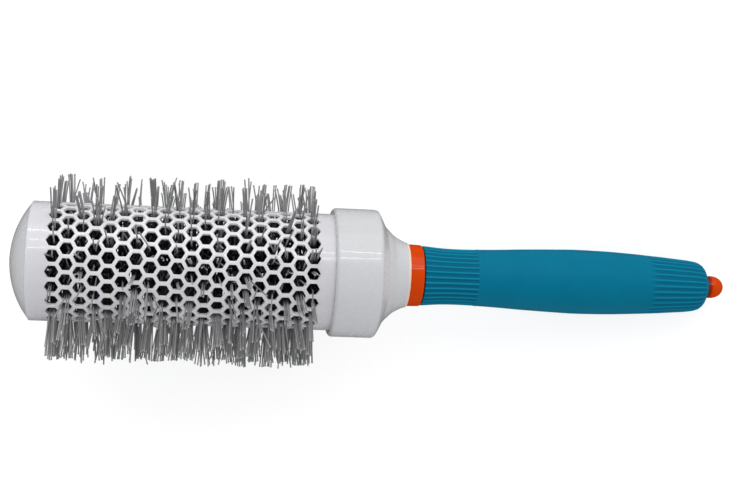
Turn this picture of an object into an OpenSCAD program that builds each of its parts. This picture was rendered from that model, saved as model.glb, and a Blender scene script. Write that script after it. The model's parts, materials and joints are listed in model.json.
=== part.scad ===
// Round barrel brush: a bristle core twisted in wire, inside a perforated
// barrel, with a soft-touch handle and a pull-out sectioning pick.
//
// Every piece is drawn along its own axis, +X from the nose to the handle end,
// with X = 0 in the middle of the perforated zone. The whole brush is then laid
// down on its bristles and its handle end, with the floor at Z = 0.

/* [Barrel] */
// Outside diameter of the perforated barrel
barrel_d = 45; // [44:0.5:45.5]
// Wall thickness of the barrel
barrel_wall = 1; // [0.8:0.1:1.4]
// Number of hexagonal holes around the barrel
holes_around = 24; // [20:4:24]
// Number of rings of holes along the barrel
hole_rings = 20; // [16:2:20]
// Distance between neighbouring rings of holes
ring_step = 5; // [4.9:0.1:5.1]
// Width of a hole across its flats
hole_flats = 4.2; // [3.4:0.1:4.4]
// Height of the domed nose in front of the barrel
nose_h = 7.9; // [6.9:0.5:9.9]

/* [Bristles] */
// Diameter over the tips of the bristles
brush_d = 68; // [64:1:72]
// Width of a tuft of bristles at its tip, along the brush
tuft_w = 3; // [1.6:0.2:3.4]
// Thickness of a tuft of bristles
tuft_t = 1.4; // [0.8:0.1:1.4]
// Diameter of each of the two core wires
wire_d = 2.5; // [2:0.1:2.6]
// Length of core over which the wires make one full turn
wire_pitch = 18; // [14:1:24]

/* [Collar] */
// Outside diameter of the collar
collar_d = 49.8; // [49:0.2:51]
// Straight length of the collar
collar_len = 14; // [12:1:16]

/* [Handle] */
// Diameter of the hard core under the soft grip
core_d = 17; // [15:0.5:17.5]
// Number of flutes around each end of the grip
flutes = 32; // [24:2:36]
// Width of a flute cutter
flute_d = 1.5; // [1:0.1:1.7]

/* [Pick] */
// Diameter of the pick rod
pick_d = 3; // [2.5:0.1:3.2]
// Length of rod inside the handle
pick_len = 78; // [60:1:84]
// Radial clearance of the rod in its bush
pick_gap = 0.05; // [0.03:0.01:0.08]
// How far the pick is drawn out of the handle
pick_out = 0; // [0:1:70]

/* [Hidden] */
$fn = 96;

barrel_r = barrel_d / 2;
bore_r = barrel_r - barrel_wall;
collar_r = collar_d / 2;
core_r = core_d / 2;
rod_r = pick_d / 2;
wire_off = wire_d / 2 + 0.25;         // filaments are nipped in the 0.5 gap
core_out = wire_off + wire_d / 2;     // outside radius of the twisted pair
tip_r = brush_d / 2;
tuft_r0 = max(core_out + 0.3, 2.1 * tuft_t);  // where a tuft leaves the core
zone = (hole_rings - 1) * ring_step;  // between the first and the last ring

crease_r = barrel_r - 0.8;            // edge of the nose's spherical cap
dome_h = nose_h - 0.4;
dome_r = (crease_r * crease_r + dome_h * dome_h) / (2 * dome_h);
barrel_x0 = -57;                      // front end, at the crease of the nose
barrel_x1 = 67;                       // rear end, hidden in the collar
collar_x0 = 55.7;
neck_x1 = 85.8;                       // rear lip of the collar's neck
ring_x1 = 91.2;
grip_x1 = 207.9;
bush_x0 = 194;

// Smooth curve through control points, three steps in each span
function mix4(a, b, c, d, t) = 0.5 * (2 * b + (c - a) * t
    + (2 * a - 5 * b + 4 * c - d) * t * t + (3 * b - a - 3 * c + d) * t * t * t);
function curve(p, k = 3) = [for (i = [0 : len(p) - 2], j = [0 : k - 1])
    mix4(p[max(i - 1, 0)], p[i], p[i + 1], p[min(i + 2, len(p) - 1)], j / k),
    p[len(p) - 1]];

// Outside of the grip as [X, radius]: a waist, a palm swell and a rounded end
grip = curve([[ring_x1, 11.8], [97, 11.2], [104, 10.9], [112, 11], [124, 11.5],
              [136, 12.1], [148, 12.6], [156, 12.7], [166, 12.5], [177, 12],
              [187, 11.4], [195, 10.8], [202, 10]]);
grip_end = [[203.6, 9.7], [204.8, 9.1], [205.8, 8.2], [206.6, 7], [207.2, 5.8],
            [207.6, 5], [grip_x1, 4.6]];

// The brush lies on two tufts of the rear ring and on the grip. The angle of
// rest is where both touch the floor.
half_pitch = 360 / holes_around;
function tuft_low(t) = (zone / 2 + tuft_w / 2) * sin(t)
    + (tip_r * cos(half_pitch) + tuft_t / 2 * sin(half_pitch)) * cos(t);
function grip_low(t) = max([for (p = concat(grip, grip_end))
    p[0] * sin(t) + p[1] * cos(t)]);
function settle(lo, hi, n) = n == 0 ? (lo + hi) / 2
    : tuft_low((lo + hi) / 2) > grip_low((lo + hi) / 2)
        ? settle((lo + hi) / 2, hi, n - 1) : settle(lo, (lo + hi) / 2, n - 1);
rest_tilt = settle(2, 16, 24);
rest_z = max(tuft_low(rest_tilt), grip_low(rest_tilt));

// Ends of the whole brush along the floor, so that it is centred on the origin
nose_x = barrel_x0 - nose_h;
knob_x = grip_x1 + 7.25;
span_lo = min([for (p = nose_line()) p[0] * cos(rest_tilt) - p[1] * sin(rest_tilt)]);
span_hi = max([for (p = knob_line()) p[0] * cos(rest_tilt) + p[1] * sin(rest_tilt)]);
rest_x = -(span_lo + span_hi) / 2;

module at_rest() translate([rest_x, 0, rest_z]) rotate([0, rest_tilt, 0]) children();

// Solid of revolution about X from [X, radius] points
module turned(pts) rotate([0, 90, 0]) rotate_extrude()
    polygon([for (p = pts) [p[1], p[0]]]);

// Plain tube about X
module tube(x0, x1, ro, ri) translate([x0, 0, 0]) rotate([0, 90, 0])
    difference() {
        cylinder(r = ro, h = x1 - x0);
        if (ri > 0) translate([0, 0, -1]) cylinder(r = ri, h = x1 - x0 + 2);
    }

// Domed nose: a spherical cap that meets the barrel at a soft crease
function nose_line() = concat(
    [for (i = [0 : 14]) let (a = asin(crease_r / dome_r) * i / 14)
        [nose_x + dome_r * (1 - cos(a)), dome_r * sin(a)]],
    [[barrel_x0 - 0.15, barrel_r - 0.4], [barrel_x0, barrel_r - 0.15]]);

// Knob of the pick: a short bead with a rounded end
function knob_line() = concat([[grip_x1 + 0.1, 4], [grip_x1 + 0.5, 4.3],
    [grip_x1 + 1.9, 4.4]],
    [for (a = [0 : 15 : 90]) [grip_x1 + 2.9 + 4.35 * sin(a), 4.3 * sqrt(max(0, cos(a)))]]);

// Angles of the holes of ring c, turned half a pitch from ring to ring
function hole_turn(c) = (c % 2 == 0 ? -0.5 : 0) * 360 / holes_around;
function ring_x(c) = (c - (hole_rings - 1) / 2) * ring_step;

module barrel_tube() at_rest() color("white") difference() {
    tube(barrel_x0, barrel_x1, barrel_r, bore_r);
    for (c = [0 : hole_rings - 1], j = [0 : holes_around - 1])
        translate([ring_x(c), 0, 0])
            rotate([hole_turn(c) + j * 360 / holes_around, 0, 0])
                translate([0, 0, bore_r - 2])
                    cylinder(d = hole_flats / cos(30), h = 6, $fn = 6);
}

// The cap's skirt slips into the barrel, and its boss carries the front bush
module front_cap() at_rest() color("white") difference() {
    union() {
        turned(concat(nose_line(), [[barrel_x0, 0]]));
        tube(barrel_x0 - 0.2, barrel_x0 + 6, bore_r - 0.05, 0);
    }
    turned([[nose_x + 2.6, 6.5], [nose_x + 4.4, 12], [nose_x + 7.4, 18],
            [barrel_x0 + 0.6, bore_r - 1.8], [barrel_x0 + 7, bore_r - 1.8],
            [barrel_x0 + 7, 6.5]]);
    tube(barrel_x0 - 4, barrel_x0 + 7, 4.5, 0);
}

// Plug on the front end of the twisted core, seated in the cap's boss
module front_bush() at_rest() color("dimgray") difference() {
    tube(barrel_x0 - 4, barrel_x0 + 6, 4.45, 0);
    tube(barrel_x0 - 2.5, barrel_x0 + 7, core_out + 0.05, 0);
}

wire_x0 = barrel_x0 - 2.4;
wire_x1 = 103;

module core_wire(turn) translate([wire_x0, 0, 0]) rotate([turn, 0, 0]) rotate([0, 90, 0])
    linear_extrude(height = wire_x1 - wire_x0, twist = -360 * (wire_x1 - wire_x0) / wire_pitch,
                   slices = round((wire_x1 - wire_x0) / wire_pitch * 16), $fn = 10)
        translate([wire_off, 0]) circle(d = wire_d);

module core_wire_a() at_rest() color("silver") core_wire(0);
module core_wire_b() at_rest() color("silver") core_wire(180);

// Tufts of filaments, one through every second hole of each ring in turn. The
// core nips the filaments side by side, so a tuft is flat and fans out.
module tuft() translate([0, tuft_t / 2, 0]) rotate([90, 0, 0])
    linear_extrude(height = tuft_t)
        polygon([[-0.6, tuft_r0], [0.6, tuft_r0], [tuft_w / 2, tip_r], [-tuft_w / 2, tip_r]]);

module tufts(c0, c1) color("darkgray") for (c = [c0 : c1], j = [0 : holes_around / 2 - 1])
    translate([ring_x(c), 0, 0])
        rotate([hole_turn(c) + (2 * j + 1) * 360 / holes_around, 0, 0]) tuft();

module bristles_front() at_rest() tufts(0, floor(hole_rings / 3) - 1);
module bristles_middle() at_rest() tufts(floor(hole_rings / 3), hole_rings - floor(hole_rings / 3) - 1);
module bristles_rear() at_rest() tufts(hole_rings - floor(hole_rings / 3), hole_rings - 1);

// Disc that centres the core in the rear end of the barrel
module rear_hub() at_rest() color("dimgray") difference() {
    union() {
        tube(60, barrel_x1, bore_r - 0.05, 0);
        tube(barrel_x1 - 1, barrel_x1 + 4, 7, 0);
    }
    turned([[59, 8.5], [59, bore_r - 1.6], [65, bore_r - 1.6], [65, 8.5]]);
    tube(59, barrel_x1 + 5, core_out + 0.1, 0);
}

// Crimped sleeve on the rear end of the core, inside the handle
module wire_ferrule() at_rest() color("silver") difference() {
    tube(92, wire_x1 + 3, 4.2, 0);
    tube(91, wire_x1 + 0.1, core_out + 0.05, 0);
}

function collar_line() = concat(
    [[collar_x0, barrel_r + 0.05], [collar_x0, collar_r - 1.5]],
    [for (a = [15 : 15 : 90]) [collar_x0 + 1.5 * (1 - cos(a)), collar_r - 1.5 + 1.5 * sin(a)]],
    [for (a = [0 : 15 : 60]) [collar_x0 + 1.5 + collar_len + 2.2 * sin(a), collar_r - 2.2 + 2.2 * cos(a)]],
    curve([[74.1, 22.8], [75.3, 20.6], [76.2, 19.1], [77.2, 18], [78.4, 16.8],
           [79.8, 15.4], [81.4, 14.4], [83.2, 13.4], [84.8, 12.7]]),
    [[85.1, 12.6], [85.6, 12.55], [neck_x1, 12.3]]);

// One-piece collar and neck, hollow, with a hub for the handle's spigot
module collar() at_rest() color("whitesmoke") difference() {
    turned(concat(collar_line(), [[neck_x1, 6.55], [barrel_x1 + 4.2, 6.55],
        [barrel_x1 + 4.2, 9], [78, 9], [barrel_x1 + 4.6, 19.6], [barrel_x1 + 3, 21.4],
        [barrel_x1 + 0.1, 21.4], [barrel_x1 + 0.1, barrel_r + 0.05]]));
    for (a = [0, 120, 240]) rotate([a, 0, 0])
        translate([barrel_x1 + 3, -1.05, 5]) cube([neck_x1 - barrel_x1 - 5, 2.1, 2.7]);
}

module trim_ring() at_rest() color("orangered") turned([[neck_x1, 6.55], [neck_x1, 11.8],
    [neck_x1 + 0.3, 12], [ring_x1 - 0.4, 11.9], [ring_x1, 11.6], [ring_x1, 6.55]]);

// Hard core of the handle: a spigot whose three splines stop it turning in the
// collar, the shank, and a stepped bore for the pick
module handle_core() at_rest() color("dimgray") difference() {
    union() {
        tube(barrel_x1 + 4.2, ring_x1 + 1, 6.5, 0);
        for (a = [0, 120, 240]) rotate([a, 0, 0])
            translate([barrel_x1 + 4.2, -1, 5]) cube([neck_x1 - barrel_x1 - 6.4, 2, 2.6]);
        turned([[ring_x1, 0], [ring_x1, core_r - 0.5], [ring_x1 + 0.5, core_r],
                [196, core_r], [203, 7.4], [205.5, 6], [205.5, 0]]);
    }
    tube(barrel_x1 + 3, 92, core_out + 0.3, 0);
    tube(91.9, wire_x1 + 3.1, 4.25, 0);
    tube(grip_x1 - 82 - 4, bush_x0 + 1, rod_r + 0.6, 0);
    tube(bush_x0, 206, 3.6, 0);
}

// Soft skin over the hard core, fluted at both ends
module grip_sleeve() at_rest() color("#0d7f99") difference() {
    turned(concat([[ring_x1, core_r - 0.5]], grip, grip_end,
        [[grip_x1, 3.6], [205.5, 3.6], [205.5, 6], [203, 7.4], [196, core_r],
         [ring_x1 + 0.5, core_r]]));
    for (i = [0 : flutes - 1]) rotate([i * 360 / flutes, 0, 0]) {
        translate([ring_x1 - 1, 0, 11.5 + flute_d / 2]) rotate([0, 95.2, 0])
            cylinder(d = flute_d, h = 8.2, $fn = 16);
        translate([98, 0, 10.7 + flute_d / 2]) rotate([0, 90.4, 0])
            cylinder(d = flute_d, h = 15.5, $fn = 16);
        translate([182.5, 0, 11.33 + flute_d / 2]) rotate([0, 94.8, 0])
            cylinder(d = flute_d, h = 22, $fn = 16);
    }
}

// Liner that the pick runs in, with a groove for the grip ring
module pick_bush() at_rest() color("gray") difference() {
    tube(bush_x0, grip_x1, 3.6, 0);
    tube(bush_x0 - 1, grip_x1 + 1, rod_r + pick_gap, 0);
    tube(198, 199.2, rod_r + 1.1, 0);
}

// Rubber ring in the groove, which holds the rod by friction
module pick_grip_ring() at_rest() color("black") translate([198.6, 0, 0])
    rotate([0, 90, 0]) rotate_extrude() translate([rod_r + pick_gap + 0.5, 0])
        circle(r = 0.5, $fn = 24);

module pick_rod() at_rest() translate([pick_out, 0, 0]) color("silver")
    turned([[grip_x1 - pick_len, 0], [grip_x1 - pick_len + 0.2, 0.5],
            [grip_x1 - pick_len + 6, rod_r], [grip_x1 + 3, rod_r], [grip_x1 + 3, 0]]);

module pick_knob() at_rest() translate([pick_out, 0, 0]) color("orangered") difference() {
    turned(concat([[grip_x1 + 0.1, 0]], knob_line()));
    tube(grip_x1 - 1, grip_x1 + 3, rod_r, 0);
}

barrel_tube();
front_cap();
front_bush();
core_wire_a();
core_wire_b();
bristles_front();
bristles_middle();
bristles_rear();
rear_hub();
wire_ferrule();
collar();
trim_ring();
handle_core();
grip_sleeve();
pick_bush();
pick_grip_ring();
pick_rod();
pick_knob();
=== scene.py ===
import json
import math

import bpy
import numpy as np
from mathutils import Matrix, Vector


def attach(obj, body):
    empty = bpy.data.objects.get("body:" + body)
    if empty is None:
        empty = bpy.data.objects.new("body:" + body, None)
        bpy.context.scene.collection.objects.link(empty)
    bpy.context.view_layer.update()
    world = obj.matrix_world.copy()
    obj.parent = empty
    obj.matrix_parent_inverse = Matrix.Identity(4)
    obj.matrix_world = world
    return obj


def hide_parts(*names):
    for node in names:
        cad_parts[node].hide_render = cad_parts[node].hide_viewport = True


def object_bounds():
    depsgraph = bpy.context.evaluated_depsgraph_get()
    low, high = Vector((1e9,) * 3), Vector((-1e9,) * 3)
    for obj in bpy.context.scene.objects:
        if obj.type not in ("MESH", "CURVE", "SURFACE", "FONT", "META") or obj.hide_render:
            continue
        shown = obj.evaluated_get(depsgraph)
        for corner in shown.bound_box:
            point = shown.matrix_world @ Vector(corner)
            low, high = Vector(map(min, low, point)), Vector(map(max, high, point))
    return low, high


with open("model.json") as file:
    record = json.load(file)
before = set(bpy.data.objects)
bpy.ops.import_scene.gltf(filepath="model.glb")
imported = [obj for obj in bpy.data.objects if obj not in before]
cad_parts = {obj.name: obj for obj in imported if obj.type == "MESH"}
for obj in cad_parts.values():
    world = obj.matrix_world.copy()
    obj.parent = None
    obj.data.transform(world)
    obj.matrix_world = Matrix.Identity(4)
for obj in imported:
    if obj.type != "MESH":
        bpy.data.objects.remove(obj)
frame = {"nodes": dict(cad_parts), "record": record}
cad_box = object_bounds()
scene = bpy.context.scene
record = frame["record"]

# ---------------------------------------------------------------- brush frame
# The pieces are built along the brush's own axis, in millimetres: X from the
# nose to the handle end with 0 in the middle of the perforated zone, and Z up
# from the axis. The slide axis and the holder seat fix where that axis lies.
slide = next(j for j in record["behaviour"]["joints"] if j["name"] == "pick_slide")
seat = next(m for m in record["mounts"] if m["name"] == "holder_seat")
ax = Vector(slide["axis"]).normalized()
ay = Vector((0.0, 1.0, 0.0))
az = ax.cross(ay)
origin = Vector(seat["pos_m"]) - ax * 0.0642
LOCAL = np.array([[ax[i], ay[i], az[i]] for i in range(3)])
ORG = np.array(origin)


def to_row(p):
    """Brush-frame millimetres to row-frame metres."""
    return np.asarray(p, float) * 0.001 @ LOCAL.T + ORG


def to_brush(p):
    return (np.asarray(p, float) - ORG) @ LOCAL * 1000.0


# ---------------------------------------------------------------- dimensions
R = 22.5            # barrel radius
WALL = 1.0
HOLES, RINGS, STEP = 24, 20, 5.0
FLATS = 4.2
X0, X1 = -57.0, 67.0
NOSE = -64.9
NECK = 85.8
RING1 = 91.2
GRIP1 = 207.9
PITCH = 2 * math.pi / HOLES


def ring_x(c):
    return (c - (RINGS - 1) / 2) * STEP


def hole_angle(c, j):
    """Angle of a hole from +Z towards +Y."""
    return (j + (0.5 if c % 2 == 0 else 0.0)) * PITCH


def spline(points, k):
    """Catmull-Rom through the points, k steps in each span."""
    p = np.array(points, float)
    out = []
    for i in range(len(p) - 1):
        a, b, c, d = p[max(i - 1, 0)], p[i], p[i + 1], p[min(i + 2, len(p) - 1)]
        for s in range(k):
            t = s / k
            out.append(0.5 * (2 * b + (c - a) * t + (2 * a - 5 * b + 4 * c - d) * t * t
                              + (3 * b - a - 3 * c + d) * t ** 3))
    out.append(p[-1])
    return [tuple(q) for q in out]


def arc(cx, cr, rad, a0, a1, n):
    """Arc in the (X, radius) plane, angles in degrees from +X towards +radius."""
    return [(cx + rad * math.cos(math.radians(a0 + (a1 - a0) * i / n)),
             cr + rad * math.sin(math.radians(a0 + (a1 - a0) * i / n))) for i in range(n + 1)]


# ---------------------------------------------------------------- mesh helpers
def add_mesh(name, verts, faces, body, mats, slots=None, sharp=40.0):
    """verts in brush millimetres."""
    me = bpy.data.meshes.new(name)
    me.from_pydata(to_row(verts).tolist(), [], faces)
    me.validate()
    ob = bpy.data.objects.new(name, me)
    scene.collection.objects.link(ob)
    for m in mats:
        me.materials.append(m)
    if slots is not None:
        me.polygons.foreach_set("material_index", np.asarray(slots, dtype=np.int32))
    me.polygons.foreach_set("use_smooth", np.ones(len(me.polygons), dtype=bool))
    if sharp:
        me.set_sharp_from_angle(angle=math.radians(sharp))
    me.update()
    return ob


def revolve(profile, n, radius=None, slot_of=None):
    """Closed solid of revolution about X. The profile is a loop of (X, r), or a
    line whose two ends lie on the axis. radius(x, r, angles) may change r."""
    closed = not (profile[0][1] < 1e-9 and profile[-1][1] < 1e-9)
    ang = np.arange(n) * 2 * math.pi / n
    verts, rows, faces, slots = [], [], [], []
    for k, (x, r) in enumerate(profile):
        if r < 1e-9:
            rows.append([len(verts)])
            verts.append((x, 0.0, 0.0))
            continue
        rr = np.full(n, r) if radius is None else radius(x, r, ang, k)
        rows.append(list(range(len(verts), len(verts) + n)))
        verts.extend(zip(np.full(n, x), rr * np.sin(ang), rr * np.cos(ang)))
    pairs = list(zip(range(len(rows) - 1), range(1, len(rows))))
    if closed:
        pairs.append((len(rows) - 1, 0))
    for i, j in pairs:
        a, b = rows[i], rows[j]
        s = slot_of(i) if slot_of else 0
        for q in range(n):
            w = (q + 1) % n
            if len(a) == 1:
                faces.append((a[0], b[w], b[q]))
            elif len(b) == 1:
                faces.append((a[q], a[w], b[0]))
            else:
                faces.append((a[q], a[w], b[w], b[q]))
            slots.append(s)
    return verts, faces, slots


# ---------------------------------------------------------------- materials
def new_mat(name, color, rough, metallic=0.0, coat=0.0, coat_rough=0.08, sheen=0.0,
            spec=0.5, ior=1.5):
    m = bpy.data.materials.new(name)
    m.use_nodes = True
    nt = m.node_tree
    b = nt.nodes["Principled BSDF"]
    b.inputs["Base Color"].default_value = (*color, 1)
    b.inputs["Roughness"].default_value = rough
    b.inputs["Metallic"].default_value = metallic
    b.inputs["Coat Weight"].default_value = coat
    b.inputs["Coat Roughness"].default_value = coat_rough
    b.inputs["Sheen Weight"].default_value = sheen
    b.inputs["Specular IOR Level"].default_value = spec
    b.inputs["IOR"].default_value = ior
    m.diffuse_color = (*color, 1)
    return m, nt, b


def coords(nt, scale=1000.0):
    """Object coordinates in millimetres."""
    tc = nt.nodes.new("ShaderNodeTexCoord")
    mp = nt.nodes.new("ShaderNodeMapping")
    mp.inputs["Scale"].default_value = (scale, scale, scale)
    nt.links.new(tc.outputs["Object"], mp.inputs["Vector"])
    return mp.outputs["Vector"]


def noise(nt, vec, scale, detail=2.0, rough=0.5):
    n = nt.nodes.new("ShaderNodeTexNoise")
    n.inputs["Scale"].default_value = scale
    n.inputs["Detail"].default_value = detail
    n.inputs["Roughness"].default_value = rough
    nt.links.new(vec, n.inputs["Vector"])
    return n.outputs["Fac"]


def remap(nt, val, lo, hi, a=0.3, b=0.7):
    r = nt.nodes.new("ShaderNodeMapRange")
    r.inputs["From Min"].default_value = a
    r.inputs["From Max"].default_value = b
    r.inputs["To Min"].default_value = lo
    r.inputs["To Max"].default_value = hi
    nt.links.new(val, r.inputs["Value"])
    return r.outputs["Result"]


def tint(nt, val, c0, c1):
    """Colour between c0 and c1 by val."""
    r = nt.nodes.new("ShaderNodeMix")
    r.data_type = "RGBA"
    r.inputs["A"].default_value = (*c0, 1)
    r.inputs["B"].default_value = (*c1, 1)
    nt.links.new(val, r.inputs["Factor"])
    return r.outputs["Result"]


def bump(nt, val, strength, dist_mm, bsdf):
    n = nt.nodes.new("ShaderNodeBump")
    n.inputs["Strength"].default_value = strength
    n.inputs["Distance"].default_value = dist_mm / 1000
    nt.links.new(val, n.inputs["Height"])
    nt.links.new(n.outputs["Normal"], bsdf.inputs["Normal"])
    return n


def moulded(name, c0, c1, r0, r1, scale=0.12, grain=1.6, depth=0.02, **kw):
    """Moulded plastic: faint mottling, uneven gloss and a fine surface grain."""
    m, nt, b = new_mat(name, c0, (r0 + r1) / 2, **kw)
    v = coords(nt)
    big = noise(nt, v, scale, 3)
    nt.links.new(tint(nt, remap(nt, big, 0, 1), c0, c1), b.inputs["Base Color"])
    nt.links.new(remap(nt, noise(nt, v, scale * 4, 4), r0, r1), b.inputs["Roughness"])
    bump(nt, noise(nt, v, grain, 3), 0.2, depth, b)
    return m


mat_barrel = moulded("barrel_ceramic_coat", (0.635, 0.630, 0.660), (0.645, 0.640, 0.670), 0.22, 0.30,
                     grain=0.9, depth=0.0002, coat=0.4, coat_rough=0.02, spec=0.25)


def blend(mat, attr, color):
    """Blend a material's colour towards another one by a mesh attribute."""
    nt = mat.node_tree
    b = next(n for n in nt.nodes if n.type == "BSDF_PRINCIPLED")
    at = nt.nodes.new("ShaderNodeAttribute")
    at.attribute_name = attr
    r = nt.nodes.new("ShaderNodeMix")
    r.data_type = "RGBA"
    r.inputs["B"].default_value = (*color, 1)
    nt.links.new(b.inputs["Base Color"].links[0].from_socket, r.inputs["A"])
    nt.links.new(at.outputs["Fac"], r.inputs["Factor"])
    nt.links.new(r.outputs["Result"], b.inputs["Base Color"])


# painted light: the webs between the holes are painted lighter than the plain bands, to make up for the light
# they get less of back from around them
blend(mat_barrel, "web", (0.745, 0.740, 0.765))
# painted shade: the inside of the tube is painted near-black, standing in for the shade inside the barrel
mat_inside = moulded("barrel_inside_painted_shade", (0.022, 0.022, 0.024), (0.035, 0.035, 0.037), 0.5, 0.65)
mat_white = moulded("white_gloss_plastic", (0.580, 0.582, 0.593), (0.592, 0.594, 0.605), 0.24, 0.32,
                    grain=0.8, depth=0.0002, coat=0.4, coat_rough=0.02, spec=0.25)
mat_lip = moulded("pale_lip", (0.80, 0.60, 0.48), (0.84, 0.64, 0.52), 0.3, 0.4, depth=0.002)
mat_orange = moulded("orange_gloss_plastic", (0.60, 0.050, 0.001), (0.62, 0.053, 0.0015), 0.2, 0.28,
                     grain=0.7, depth=0.001, coat=0.35, coat_rough=0.03, spec=0.06)
mat_dark = moulded("inner_dark_plastic", (0.03, 0.03, 0.032), (0.045, 0.045, 0.047), 0.45, 0.6)
mat_bush = moulded("bush_plastic", (0.12, 0.12, 0.125), (0.15, 0.15, 0.155), 0.4, 0.5)
mat_rubber = moulded("ring_rubber", (0.015, 0.015, 0.015), (0.025, 0.025, 0.025), 0.6, 0.8)


def soft_touch():
    """Satin soft-touch skin. groove runs from 0 on the skin to 1 in the bottom
    of a flute, where the colour is painted darker as painted shade, and ridge
    is 1 on the crest between two flutes, which is painted lighter as a painted highlight."""
    m, nt, b = new_mat("soft_touch_teal", (0.0, 0.15, 0.26), 0.5, spec=0.04)
    v = coords(nt)
    mottle = noise(nt, v, 0.10, 3)
    skin = tint(nt, remap(nt, mottle, 0, 1), (0.0004, 0.145, 0.243), (0.0006, 0.155, 0.256))
    at = nt.nodes.new("ShaderNodeAttribute")
    at.attribute_name = "groove"
    # painted shade: darker in the bottom of the flutes
    groove_shade = nt.nodes.new("ShaderNodeMix")
    groove_shade.data_type = "RGBA"
    groove_shade.inputs["B"].default_value = (0.0004, 0.118, 0.205, 1)
    nt.links.new(skin, groove_shade.inputs["A"])
    nt.links.new(at.outputs["Fac"], groove_shade.inputs["Factor"])
    # painted highlight: lighter on the crests between the flutes
    ar = nt.nodes.new("ShaderNodeAttribute")
    ar.attribute_name = "ridge"
    crest_highlight = nt.nodes.new("ShaderNodeMix")
    crest_highlight.data_type = "RGBA"
    crest_highlight.inputs["B"].default_value = (0.004, 0.225, 0.345, 1)
    nt.links.new(groove_shade.outputs["Result"], crest_highlight.inputs["A"])
    nt.links.new(ar.outputs["Fac"], crest_highlight.inputs["Factor"])
    nt.links.new(crest_highlight.outputs["Result"], b.inputs["Base Color"])
    nt.links.new(remap(nt, noise(nt, v, 0.5, 4), 0.44, 0.56), b.inputs["Roughness"])
    bump(nt, noise(nt, v, 6.0, 2), 0.2, 0.012, b)
    return m


def steel(name, color, rough, streak, metallic=1.0):
    """Drawn or polished steel, with fine streaks along the brush's axis."""
    m, nt, b = new_mat(name, color, rough, metallic=metallic)
    tc = nt.nodes.new("ShaderNodeTexCoord")
    mp = nt.nodes.new("ShaderNodeMapping")
    mp.inputs["Scale"].default_value = streak
    nt.links.new(tc.outputs["Object"], mp.inputs["Vector"])
    n = noise(nt, mp.outputs["Vector"], 1.0, 4)
    nt.links.new(remap(nt, n, rough * 0.75, rough * 1.3), b.inputs["Roughness"])
    dark = tuple(c * 0.8 for c in color)
    nt.links.new(tint(nt, remap(nt, n, 0, 1), dark, color), b.inputs["Base Color"])
    bump(nt, n, 0.2, 0.01, b)
    return m


def nylon():
    """Satin nylon filament. tone is a value for each filament, along runs from
    0 at the core to 1 at the rounded tip."""
    m, nt, b = new_mat("nylon_filament", (0.2, 0.2, 0.2), 0.34)
    at = nt.nodes.new("ShaderNodeAttribute")
    at.attribute_name = "tone"
    al = nt.nodes.new("ShaderNodeAttribute")
    al.attribute_name = "along"
    base = tint(nt, at.outputs["Fac"], (0.17, 0.17, 0.172), (0.34, 0.34, 0.342))
    # painted shade: the part inside the barrel is painted near-black, standing in for the shade there
    root = nt.nodes.new("ShaderNodeMix")
    root.data_type = "RGBA"
    root.inputs["A"].default_value = (0.03, 0.03, 0.031, 1)
    nt.links.new(base, root.inputs["B"])
    nt.links.new(remap(nt, al.outputs["Fac"], 0.0, 1.0, 0.56, 0.66), root.inputs["Factor"])
    base = root.outputs["Result"]
    tip = nt.nodes.new("ShaderNodeMix")
    tip.data_type = "RGBA"
    tip.inputs["B"].default_value = (0.46, 0.46, 0.46, 1)
    nt.links.new(base, tip.inputs["A"])
    nt.links.new(remap(nt, al.outputs["Fac"], 0.0, 0.55, 0.955, 1.0), tip.inputs["Factor"])
    nt.links.new(tip.outputs["Result"], b.inputs["Base Color"])
    v = coords(nt)
    nt.links.new(remap(nt, noise(nt, v, 1.2, 2), 0.26, 0.42), b.inputs["Roughness"])
    return m


mat_teal = soft_touch()
mat_wire = steel("core_wire_steel", (0.42, 0.42, 0.43), 0.34, (60, 900, 900))
# satin: the stage has nothing but its lamps for a mirror to show
mat_pick = steel("pick_steel", (0.60, 0.60, 0.61), 0.36, (40, 1500, 1500), 0.4)
mat_ferrule = steel("ferrule_steel", (0.5, 0.5, 0.5), 0.35, (400, 400, 400))
mat_nylon = nylon()


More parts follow.
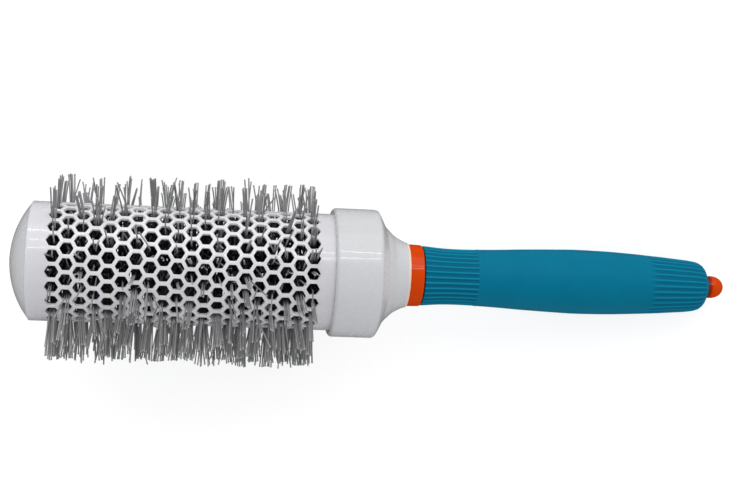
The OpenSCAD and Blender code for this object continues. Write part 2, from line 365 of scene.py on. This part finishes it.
# ---------------------------------------------------------------- barrel
def barrel():
    """A perforated tube: one hexagonal cell of surface around each hole, with a
    rounded edge on the outside, and plain bands at both ends."""
    K = 24                       # points round a cell, four to a side
    ap = FLATS / 2 + 0.12        # hole apothem, with the coat's edge worn back a little
    pitch_s = 2 * math.pi * R / HOLES
    # The cell's corners: two on the ring's axis line, four shared with the
    # neighbouring rings, so that the cells meet exactly.
    hs = pitch_s / 2
    ux = (STEP * STEP + hs * hs) / (2 * STEP)   # distance to the corner on X
    vx = STEP - ux                              # X of the four other corners
    cell = [(ux, 0), (vx, hs), (-vx, hs), (-ux, 0), (-vx, -hs), (vx, -hs)]
    outer = []
    for i in range(6):
        a, b = cell[i], cell[(i + 1) % 6]
        for s in range(4):
            t = s / 4
            outer.append((a[0] + (b[0] - a[0]) * t, a[1] + (b[1] - a[1]) * t))
    outer = np.array(outer)

    def hexa(apo, rc):
        """Rounded hexagon: three points on each corner and one in mid-side."""
        out = []
        for i in range(6):
            a = math.radians(60 * i)
            rad = apo / math.cos(math.radians(30))
            cr = rad - rc / math.cos(math.radians(30))
            cx, cy = cr * math.cos(a), cr * math.sin(a)
            am = math.radians(60 * i + 30)
            out.append((cx + rc * math.cos(a), cy + rc * math.sin(a)))
            out.append((cx + rc * math.cos(a + math.pi / 6), cy + rc * math.sin(a + math.pi / 6)))
            out.append((apo * math.cos(am), apo * math.sin(am)))
            an = math.radians(60 * (i + 1))
            nx, ny = cr * math.cos(an), cr * math.sin(an)
            out.append((nx + rc * math.cos(an - math.pi / 6), ny + rc * math.sin(an - math.pi / 6)))
        return np.array(out)

    f = 0.15
    loops = [(hexa(ap + f, 0.55), 0.0)]
    for a in (30, 60, 90):
        loops.append((hexa(ap + f * (1 - math.sin(math.radians(a))), 0.5),
                      f * (1 - math.cos(math.radians(a)))))
    loops.append((hexa(ap, 0.5), WALL))
    verts, faces, slots = [], [], []
    key = {}

    def vert(x, s, depth):
        # s is measured on the outside surface, so the walls run radially
        a = s / R
        r = R - depth
        k = (round(x, 3), round((a % (2 * math.pi)) * R, 3) % round(2 * math.pi * R, 3), round(depth, 3))
        if k not in key:
            key[k] = len(verts)
            verts.append((x, r * math.sin(a), r * math.cos(a)))
        return key[k]

    edge = {}
    for c in range(RINGS):
        for j in range(HOLES):
            s0 = hole_angle(c, j) * R
            x0 = ring_x(c)
            rings = [[vert(x0 + p[0], s0 + p[1], 0.0) for p in outer]]
            for lp, d in loops:
                rings.append([vert(x0 + p[0], s0 + p[1], d) for p in lp])
            rings.append([vert(x0 + p[0], s0 + p[1], WALL) for p in outer])
            n = len(rings) - 1
            for q in range(n):
                a, b = rings[q], rings[q + 1]
                for i in range(K):
                    w = (i + 1) % K
                    faces.append((a[i], a[w], b[w], b[i]))
                    slots.append(1 if q == n - 1 else 0)
            if c in (0, RINGS - 1):
                side = 1 if c else -1
                for d, rg in ((0.0, rings[0]), (WALL, rings[-1])):
                    for i in range(K):
                        if outer[i][0] * side > -vx - 1e-6:
                            edge.setdefault((side, d), []).append(((s0 + outer[i][1]) / R, rg[i]))
    # Plain bands: the free edge of the cells joined to straight rings.
    order = {}
    for (side, d), lst in edge.items():
        use = {}
        for a, v in lst:
            p = verts[v]
            if side * (p[0] - side * ring_x(RINGS - 1)) >= vx - 1e-3:
                use[v] = math.atan2(p[1], p[2]) % (2 * math.pi)
        order[(side, d)] = sorted(use, key=lambda v: use[v])
    for side in (-1, 1):
        ends = []
        xs = [X0 + 4.2, X0 + 1.2, X0 + 0.16, X0] if side < 0 else [52.5, 56, 61, X1]
        for d in (0.0, WALL):
            prev = order[(side, d)]
            sl = 1 if d else 0
            for k, x in enumerate(xs):
                r = R - d - (0.12 if side < 0 and k == 3 and d == 0.0 else 0.0)
                cur = []
                for v in prev:
                    a = math.atan2(verts[v][1], verts[v][2])
                    cur.append(len(verts))
                    verts.append((x, r * math.sin(a), r * math.cos(a)))
                m = len(prev)
                for i in range(m):
                    w = (i + 1) % m
                    q = (prev[i], prev[w], cur[w], cur[i])
                    faces.append(q)
                    slots.append(sl)
                prev = cur
            ends.append(prev)
        m = len(ends[0])
        for i in range(m):
            w = (i + 1) % m
            faces.append((ends[0][i], ends[0][w], ends[1][w], ends[1][i]))
            slots.append(0)
    ob = add_mesh("barrel_shell", verts, faces, "brush", [mat_barrel, mat_inside], slots, sharp=None)
    recalc(ob)
    # mask for the painted light on the webs: 1 in the perforated zone, fading to 0 over the plain bands
    edge_x = np.clip((np.abs(np.array(verts)[:, 0]) - 47.0) / 4.0, 0, 1)
    at = ob.data.attributes.new("web", "FLOAT", "POINT")
    at.data.foreach_set("value", (1.0 - edge_x * edge_x * (3 - 2 * edge_x)).astype(np.float32))
    ob.data.set_sharp_from_angle(angle=math.radians(50))
    return ob


def recalc(ob):
    import bmesh
    bm = bmesh.new()
    bm.from_mesh(ob.data)
    bmesh.ops.recalc_face_normals(bm, faces=bm.faces)
    open_edges = sum(1 for e in bm.edges if len(e.link_faces) != 2)
    bm.to_mesh(ob.data)
    bm.free()
    print(ob.name, "faces", len(ob.data.polygons), "open edges", open_edges)


shell = barrel()
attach(shell, "brush")
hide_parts("barrel_tube")


# ---------------------------------------------------------------- nose cap
def nose_profile():
    crease_r, dome_h = R - 0.8, 7.5
    dome_r = (crease_r ** 2 + dome_h ** 2) / (2 * dome_h)
    top = math.asin(crease_r / dome_r)
    line = [(NOSE + dome_r * (1 - math.cos(top * i / 36)), dome_r * math.sin(top * i / 36))
            for i in range(36)]
    line[0] = (NOSE, 0.0)
    line += [(-57.4, 21.72), (-57.26, 21.95), (-57.12, 22.16), (-57.03, 22.3), (X0 - 0.01, 22.36)]
    line += [(X0 - 0.01, 21.45), (-51.2, 21.45), (-51.0, 21.2), (-51.0, 19.8)]
    inner_r = dome_r - 1.8
    a1 = math.asin(19.7 / inner_r)
    line += [(NOSE + dome_r - inner_r * math.cos(a1 * (12 - i) / 12), inner_r * math.sin(a1 * (12 - i) / 12))
             for i in range(12)]
    line.append((NOSE + dome_r - inner_r, 0.0))
    return line


v, f, s = revolve(nose_profile(), 192)
cap = add_mesh("nose_cap", v, f, "brush", [mat_white], s, sharp=None)
recalc(cap)
cap.data.set_sharp_from_angle(angle=math.radians(45))
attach(cap, "brush")
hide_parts("front_cap")


# ---------------------------------------------------------------- collar
def collar_profile():
    C = 24.9
    line = [(55.7, 22.62), (55.7, 23.2)]
    line += arc(57.2, C - 1.5, 1.5, 180, 90, 10)
    line += [(60, C), (63, C), (66, C), (69, C)]
    line += arc(72.1, C - 1.7, 1.7, 90, 30, 10)
    line += spline([(74.2, 23.0), (75.2, 21.0), (76.2, 19.15), (77.2, 18.0), (78.4, 16.83), (79.8, 15.45),
                    (81.4, 14.4), (83.2, 13.42), (84.3, 12.95), (84.9, 12.72)], 5)
    line += [(84.98, 12.68), (85.04, 12.66)]
    line += arc(85.46, 12.28, 0.36, 112, 0, 6)
    line += [(NECK, 11.6), (NECK, 6.6), (71.3, 6.6), (71.3, 9.0), (77.8, 9.0), (72.0, 19.0),
             (70.3, 21.3), (67.1, 21.4), (67.1, 22.62)]
    return line


cp = collar_profile()
lip0 = next(i for i, p in enumerate(cp) if p[0] >= 84.97)
lip1 = next(i for i, p in enumerate(cp) if p == (NECK, 11.6))
v, f, s = revolve(cp, 192, slot_of=lambda i: 1 if lip0 <= i <= lip1 else 0)
collar = add_mesh("collar_shell", v, f, "brush", [mat_white, mat_lip], s, sharp=None)
recalc(collar)
collar.data.set_sharp_from_angle(angle=math.radians(40))
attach(collar, "brush")
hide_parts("collar")

# ---------------------------------------------------------------- trim ring
tp = [(NECK + 0.02, 6.6), (NECK + 0.02, 11.7)] + arc(86.1, 11.78, 0.28, 180, 90, 5) + \
     [(87.3, 12.04), (88.8, 12.0), (90.0, 11.95)] + arc(90.78, 11.5, 0.4, 90, 0, 6) + [(RING1 - 0.02, 6.6)]
v, f, s = revolve(tp, 192)
ring = add_mesh("trim_band", v, f, "brush", [mat_orange], s, sharp=None)
recalc(ring)
ring.data.set_sharp_from_angle(angle=math.radians(40))
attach(ring, "brush")
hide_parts("trim_ring")


# ---------------------------------------------------------------- grip
def smooth(t):
    t = np.clip(t, 0, 1)
    return t * t * (3 - 2 * t)


def grip():
    body = spline([(91.2, 11.72), (94, 11.5), (97, 11.22), (100, 11.03), (104, 10.92), (110, 10.96), (116, 11.15),
                   (123, 11.45), (130, 11.85), (138, 12.2), (146, 12.5), (153, 12.7), (160, 12.65),
                   (168, 12.45), (177, 12.0), (187, 11.42), (191, 11.1), (195, 10.77), (199, 10.44),
                   (202, 10.04)], 24)
    end = spline([(202, 10.04), (203.6, 9.67), (204.8, 9.09), (205.8, 8.2), (206.6, 6.9),
                  (207.2, 5.75), (207.6, 4.95)], 6)
    full = body + end[1:]
    bx = np.array([p[0] for p in full])
    br = np.array([p[1] for p in full])
    # Rows: dense where the flutes start and stop
    xs = np.concatenate([
        [91.62, 91.68, 91.85], np.linspace(92.2, 112, 16), np.linspace(112.4, 115.2, 15),
        np.linspace(117, 179, 24), np.linspace(180.5, 187, 13), np.linspace(188.5, 202, 10),
        [p[0] for p in end[1:]]])
    rows = [(x, float(np.interp(x, bx, br))) for x in xs]
    rows[0] = (91.62, rows[0][1] - 0.45)
    rows[1] = (91.68, rows[1][1] - 0.15)
    n_out = len(rows)
    rows += [(GRIP1, 4.55), (GRIP1, 3.7), (205.6, 3.7), (205.6, 6.05), (203, 7.45), (196, 8.53),
             (100, 8.53), (91.62, 8.53)]
    N1, N2 = 32, 30

    def groove(p, ridge):
        """0 on the ridges, 1 in the bottom of the grooves; ridge is the share
        of half a pitch over which the rounded ridge falls away."""
        d = np.abs((p + 0.5) % 1.0 - 0.5) * 2      # 0 on the ridge line, 1 in mid-groove
        return smooth((d - 0.04) / ridge)

    def flute(x, ang):
        """Depth in mm, and the masks for the painted groove shade and the painted ridge highlight, at X and the
        angles.
        """
        if x < 116:
            env = float(1 - smooth((x - 112.1) / 1.0))
            g = groove(ang * N1 / (2 * math.pi), 0.55)
            # the lip that the grooves run out against stands a little proud
            return (0.5 * env * g - 0.09 * math.exp(-((x - 113.4) / 0.45) ** 2),
                    env * g, env * (1 - g) ** 2)
        if x > 179:
            env = float(smooth((x - 180.8) / 4.2) * (1 - smooth((x - 204.6) / 1.4)))
            g = groove(ang * N2 / (2 * math.pi), 0.6)
            return 0.42 * env * g, env * g, 0.7 * env * (1 - g) ** 2
        return np.zeros(len(ang)), np.zeros(len(ang)), np.zeros(len(ang))

    def radius(x, r, ang, k):
        return np.full(len(ang), r) - (flute(x, ang)[0] if k < n_out else 0.0)

    v, f, s = revolve(rows, 480, radius)
    ob = add_mesh("soft_grip", v, f, "brush", [mat_teal], s, sharp=None)
    recalc(ob)
    ob.data.set_sharp_from_angle(angle=math.radians(60))
    ang = np.arange(480) * 2 * math.pi / 480
    # masks for the painted shade in the flutes and the painted highlight on their crests
    for col, nm in ((1, "groove"), (2, "ridge")):
        shade = np.concatenate([flute(x, ang)[col] if k < n_out else np.zeros(480)
                                for k, (x, _) in enumerate(rows)])
        at = ob.data.attributes.new(nm, "FLOAT", "POINT")
        at.data.foreach_set("value", shade.astype(np.float32))
    return ob


sleeve = grip()
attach(sleeve, "brush")
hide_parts("grip_sleeve")

# ---------------------------------------------------------------- pick knob
kp = [(208.0, 0.0), (208.0, 3.7), (208.05, 3.95)] + \
     spline([(208.25, 4.15), (209.0, 4.34), (209.9, 4.4), (210.9, 4.36), (211.9, 4.12), (212.9, 3.68),
             (213.8, 3.0), (214.5, 2.15), (214.98, 1.1), (215.15, 0.0)], 5)
kp[-1] = (kp[-1][0], 0.0)
v, f, s = revolve(kp, 96)
knob = add_mesh("pick_bead", v, f, "pick", [mat_orange], s, sharp=None)
recalc(knob)
# painted shade where the knob seats against the grip: the orange is painted darker there, standing in for the
# contact shadow
seat = np.clip((210.1 - np.array(v)[:, 0]) / 1.4, 0, 1)
at = knob.data.attributes.new("seat", "FLOAT", "POINT")
at.data.foreach_set("value", (seat * seat * (3 - 2 * seat)).astype(np.float32))
blend(mat_orange, "seat", (0.26, 0.022, 0.001))
knob.data.set_sharp_from_angle(angle=math.radians(50))
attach(knob, "pick")
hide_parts("pick_knob")


# ---------------------------------------------------------------- bristles
def filaments():
    """Loose nylon filaments: clumps nipped in the core, which leave through the
    holes, lean a little, and bend where they reach the floor."""
    rng = np.random.RandomState(4127)
    SIDES = 6
    groups = {"front": [], "middle": [], "rear": []}
    ap = FLATS / 2 - 0.42
    for c in range(RINGS):
        name = "front" if c < 6 else ("middle" if c < 14 else "rear")
        for j in range(HOLES):
            a0 = hole_angle(c, j)
            # the mat is thinnest on top and thickest on the -Y side
            top, side = max(0.0, math.cos(a0)) ** 2, -math.sin(a0)
            empty = 0.20 + 0.30 * top - 0.22 * max(side, 0.0) + 0.04 * max(-side, 0.0)
            # the end rings are full, so the mat ends in a clean line
            if rng.rand() < empty * (0.3 if c in (0, RINGS - 1) else 1.0):
                continue
            n = int(np.clip(round(rng.normal(2.8 - 1.0 * top + 3.1 * max(side, 0.0) ** 1.8, 1.3)), 1, 7))
            # clump: filaments side by side along the core, so mostly along X.
            # A tight one keeps its order to the tips, a loose one frays.
            loose = 1.0 if rng.rand() < 0.32 + 0.2 * top else 0.22
            cx, cs = rng.uniform(-0.7, 0.7), rng.uniform(-0.6, 0.6)
            # it comes off the core to one side of the hole, and leans the other way
            root = rng.uniform(-2.2, 2.2)
            lean_x, lean_s = (cx - root) * 0.55 + rng.normal(0, 0.5), rng.normal(0, 0.8)
            if c in (0, RINGS - 1):
                lean_x = abs(lean_x) * (0.4 if c == 0 else -0.2)
            reach = 34.7 - 1.75 * math.sin(a0) + rng.normal(0, 0.5)
            for q in range(n):
                off = (q - (n - 1) / 2) * rng.uniform(0.55, 0.61)
                wx = np.clip(cx + off + rng.normal(0, 0.04 + 0.1 * loose), -1.75, 1.75)
                lim = ap - max(0.0, (abs(wx) - 1.0)) * 0.9
                ws = np.clip(cs + rng.normal(0, 0.3), -lim, lim)
                rx, rs = root + rng.normal(0, 0.3 + 0.5 * loose), rng.normal(0, 0.25)
                stray = loose > 0.5 and 0 < c < RINGS - 1 and rng.rand() < 0.24
                tx = wx * (1.1 + 0.5 * loose) + lean_x + rng.normal(0, 1.7 if stray else 0.6 * loose)
                ts = ws * 1.5 + lean_s + rng.normal(0, 2.4 if stray else 0.8 * loose)
                L = reach + rng.normal(0, 0.9 * loose)
                if rng.rand() < 0.10 * loose + 0.02:
                    L -= rng.uniform(1.0, 4.5)
                groups[name].append((ring_x(c), a0, rx, rs, wx, ws, tx, ts, min(L, 38.2),
                                     rng.rand(), 0.275 + 0.03 * rng.rand()))
        # filaments that missed the holes and lie inside the barrel
        for q in range(HOLES * 4):
            a0 = rng.uniform(0, 2 * math.pi)
            turn = rng.choice([-1.0, 1.0]) * rng.uniform(2.0, 6.0)
            groups[name].append((ring_x(c), a0, rng.uniform(-2.5, 2.5), 0.0, rng.uniform(-2.5, 2.5),
                                 rng.normal(0, 1.0), rng.uniform(-2.5, 2.5), turn, -rng.uniform(18.5, 21.0),
                                 rng.rand(), 0.3))
    # floor plane in the brush frame: Z = (X s - h) / c
    h = origin.z * 1000.0
    s_, c_ = -ax.z, az.z
    for name, lst in groups.items():
        verts, faces, tone, along = [], [], [], []
        for (x0, a0, rx, rs, wx, ws, tx, ts, L, tn, rad) in lst:
            # stations: distance from the axis, with offsets along X and round the barrel
            hidden = L < 0
            out_r = 22.0
            if hidden:
                L, out_r = -L, 15.0
                radial = np.array([3.1, 9.0, 15.0, L - 0.02])
                rr = np.full(4, rad)
            else:
                radial = np.array([3.1, 10.0, 17.0, 22.0, 26.0, 29.5, L - 1.6, L - 0.62, L - 0.42,
                                   L - 0.16, L - 0.02])
                rr = np.array([0.94, 1, 1, 1, 1, 1, 1, 1.0, 1.24, 1.16, 0.62]) * rad
            radial = np.maximum.accumulate(np.minimum(radial, L - 0.02))
            t = np.clip((radial - 3.1) / (out_r - 3.1), 0, 1)
            ox = rx + (wx - rx) * t
            os_ = rs + (ws - rs) * t
            b = np.clip((radial - out_r) / (L - out_r), 0, 1)
            k = b ** 1.25
            ox = ox + (tx - wx) * k
            os_ = os_ + (ts - ws) * k
            # os_ is a straight sideways offset in the plane of the ring
            P = np.stack([x0 + ox,
                          radial * math.sin(a0) + os_ * math.cos(a0),
                          radial * math.cos(a0) - os_ * math.sin(a0)], 1)
            # the floor holds the lowest tips up: they bend outwards along it
            low = (P[:, 0] * s_ - h) / c_ + 0.45
            short = np.maximum(low - P[:, 2], 0)
            if short[-1] > 0:
                way = 1.0 if P[-1, 1] >= 0 else -1.0
                P[:, 2] += short
                P[:, 1] += way * short * 0.9
            keep = np.concatenate([[True], np.linalg.norm(np.diff(P, axis=0), axis=1) > 0.02])
            P, rr_, rad_ = P[keep], rr[keep], radial[keep]
            d = np.gradient(P, axis=0)
            d /= np.linalg.norm(d, axis=1)[:, None]
            e1 = np.cross(d, [1.0, 0.0, 0.0])
            e1 /= np.linalg.norm(e1, axis=1)[:, None]
            e2 = np.cross(d, e1)
            base = len(verts)
            m = len(P)
            th = np.arange(SIDES) * 2 * math.pi / SIDES
            for i in range(m):
                ringv = P[i] + rr_[i] * (np.cos(th)[:, None] * e1[i] + np.sin(th)[:, None] * e2[i])
                verts.extend(ringv)
                tone.extend([tn] * SIDES)
                # painted highlight: a few of the trapped ones, picked by their tone, skip the painted inner shade
                # and take the tip's light grey, standing in for glints
                along.extend([(1.0 if tn > 0.86 else 0.0) if hidden else rad_[i] / L] * SIDES)
            for i in range(m - 1):
                for q in range(SIDES):
                    w = (q + 1) % SIDES
                    o = base + i * SIDES
                    faces.append((o + q, o + w, o + SIDES + w, o + SIDES + q))
            tipv = len(verts)
            verts.append(P[-1] + d[-1] * rad * 0.35)
            tone.append(tn)
            # the same painted highlight for the tip point of those trapped ones
            along.append((1.0 if tn > 0.86 else 0.0) if hidden else 1.0)
            o = base + (m - 1) * SIDES
            for q in range(SIDES):
                faces.append((o + q, o + (q + 1) % SIDES, tipv))
            faces.append(tuple(base + q for q in reversed(range(SIDES))))
        ob = add_mesh("filaments_" + name, np.array(verts), faces, "brush", [mat_nylon], None, sharp=None)
        recalc(ob)
        for nm, vals in (("tone", tone), ("along", along)):
            at = ob.data.attributes.new(nm, "FLOAT", "POINT")
            at.data.foreach_set("value", np.asarray(vals, dtype=np.float32))
        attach(ob, "brush")
        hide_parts("bristles_" + name)
        print(name, len(lst), "filaments")


filaments()

# ---------------------------------------------------------------- CAD pieces that stay
for node, mat in (("front_bush", mat_dark), ("rear_hub", mat_dark), ("handle_core", mat_dark),
                  ("core_wire_a", mat_wire), ("core_wire_b", mat_wire), ("wire_ferrule", mat_ferrule),
                  ("pick_bush", mat_bush), ("pick_grip_ring", mat_rubber), ("pick_rod", mat_pick)):
    ob = frame["nodes"][node]
    if not ob.material_slots:
        ob.data.materials.append(mat)
    for sl in ob.material_slots:
        sl.link = "OBJECT"
        sl.material = mat

# ---------------------------------------------------------------- camera
F_PX, DIST = 1320.0, 503.957
TH, PHI, ROLL = 0.13547, 0.04238, math.radians(1.117)
U0, V0 = 184.576, 266.387
c, s = math.cos(TH), math.sin(TH)
m_th = Matrix(((c, 0, s), (0, 1, 0), (-s, 0, c)))
c, s = math.cos(PHI), math.sin(PHI)
m_phi = Matrix(((c, s, 0), (-s, c, 0), (0, 0, 1)))
c, s = math.cos(ROLL), math.sin(ROLL)
m_roll = Matrix(((1, 0, 0), (0, c, -s), (0, s, c)))
rot = (m_phi @ m_th @ m_roll).to_4x4()
shift = Matrix.Translation(((U0 - 366) / F_PX * DIST / 1000, -(V0 - 244) / F_PX * DIST / 1000, -DIST / 1000))
cam_from_brush = shift @ rot
row_from_brush = Matrix(((ax.x, ay.x, az.x, origin.x), (ax.y, ay.y, az.y, origin.y),
                         (ax.z, ay.z, az.z, origin.z), (0, 0, 0, 1)))
cam = bpy.data.cameras.new("camera")
cam.lens, cam.sensor_width, cam.sensor_fit = F_PX * 36 / 732, 36.0, "HORIZONTAL"
cam.clip_start, cam.clip_end = 0.01, 20.0
cam_ob = bpy.data.objects.new("camera", cam)
scene.collection.objects.link(cam_ob)
cam_ob.matrix_world = row_from_brush @ cam_from_brush.inverted()
scene.camera = cam_ob
print("camera at", [round(q, 4) for q in cam_ob.matrix_world.translation])

# ---------------------------------------------------------------- floor and light
floor_me = bpy.data.meshes.new("floor")
z0 = min(0.0, cad_box[0][2]) - 0.0001
# flat under the brush; beyond the end of the handle it falls away smoothly, so
# that the pick, whose axis slopes down, can be drawn out above it
xs = [-3.0] + [0.128 + 0.11 * i / 40 for i in range(41)] + [3.0]
ramp = [min(max((x - 0.128) / 0.11, 0.0), 1.0) for x in xs]
vs = [(x, y, z0 - 0.017 * t * t * (3 - 2 * t)) for x, t in zip(xs, ramp) for y in (-3.0, 3.0)]
floor_me.from_pydata(vs, [], [(2 * i, 2 * i + 2, 2 * i + 3, 2 * i + 1) for i in range(len(xs) - 1)])
floor_me.polygons.foreach_set("use_smooth", [True] * len(floor_me.polygons))
floor = bpy.data.objects.new("floor", floor_me)
scene.collection.objects.link(floor)
m, nt, b = new_mat("floor_pale", (0.32, 0.32, 0.32), 0.9, spec=0.05)
b.inputs["Emission Color"].default_value = (1, 1, 1, 1)
b.inputs["Emission Strength"].default_value = 0.75      # a lit table: shadows almost wash out
floor_me.materials.append(m)
floor.visible_glossy = False

world = bpy.data.worlds.new("studio")
scene.world = world
world.use_nodes = True
bg = world.node_tree.nodes["Background"]
bg.inputs["Color"].default_value = (0.97, 0.98, 1.0, 1)
bg.inputs["Strength"].default_value = 0.84
world.cycles_visibility.glossy = False


def area(name, pos, target, sx, sy, power, color=(1, 1, 1)):
    li = bpy.data.lights.new(name, "AREA")
    li.shape = "RECTANGLE"
    li.size, li.size_y, li.energy, li.color = sx, sy, power, color
    ob = bpy.data.objects.new(name, li)
    scene.collection.objects.link(ob)
    d = Vector(target) - Vector(pos)
    z = -d.normalized()
    x = Vector((1, 0, 0))
    y = z.cross(x).normalized()
    x = y.cross(z)
    ob.matrix_world = Matrix(((x.x, y.x, z.x, pos[0]), (x.y, y.y, z.y, pos[1]),
                              (x.z, y.z, z.z, pos[2]), (0, 0, 0, 1)))
    return ob


def at(deg, dist, x=0.0):
    """A point over the brush, deg from straight up towards +Y."""
    return (x, dist * math.sin(math.radians(deg)), dist * math.cos(math.radians(deg)))


area("key_soft", at(50, 1.6), (0, 0, 0.03), 2.6, 1.6, 15.0, (1.0, 0.997, 0.99))


def strip(name, t0, t1, x0, x1, wide, watt):
    """Thin lamp over the brush, its two ends at the angles t0 and t1; it only
    shows as a line of gloss."""
    a, b = Vector(at(t0, 1.3, x0)), Vector(at(t1, 1.3, x1))
    mid = (a + b) / 2
    x = (b - a).normalized()
    z = mid - Vector((0, 0, 0.03))
    z = (z - x * z.dot(x)).normalized()
    y = z.cross(x)
    li = bpy.data.lights.new(name, "AREA")
    li.shape = "RECTANGLE"
    li.size, li.size_y, li.energy = (b - a).length, wide, watt
    ob = bpy.data.objects.new(name, li)
    scene.collection.objects.link(ob)
    ob.matrix_world = Matrix(((x.x, y.x, z.x, mid.x), (x.y, y.y, z.y, mid.y),
                              (x.z, y.z, z.z, mid.z), (0, 0, 0, 1)))
    ob.visible_diffuse = False


strip("strip_a", 20, 33, -0.9, 0.9, 0.040, 2.3)
strip("strip_b", 42.5, 38.5, -0.7, 0.7, 0.040, 2.1)
strip("strip_c", 60, 60, -0.9, 0.0, 0.040, 2.0)
scene.view_settings.view_transform = "Standard"

# ---------------------------------------------------------------- update
bpy.context.view_layer.update()
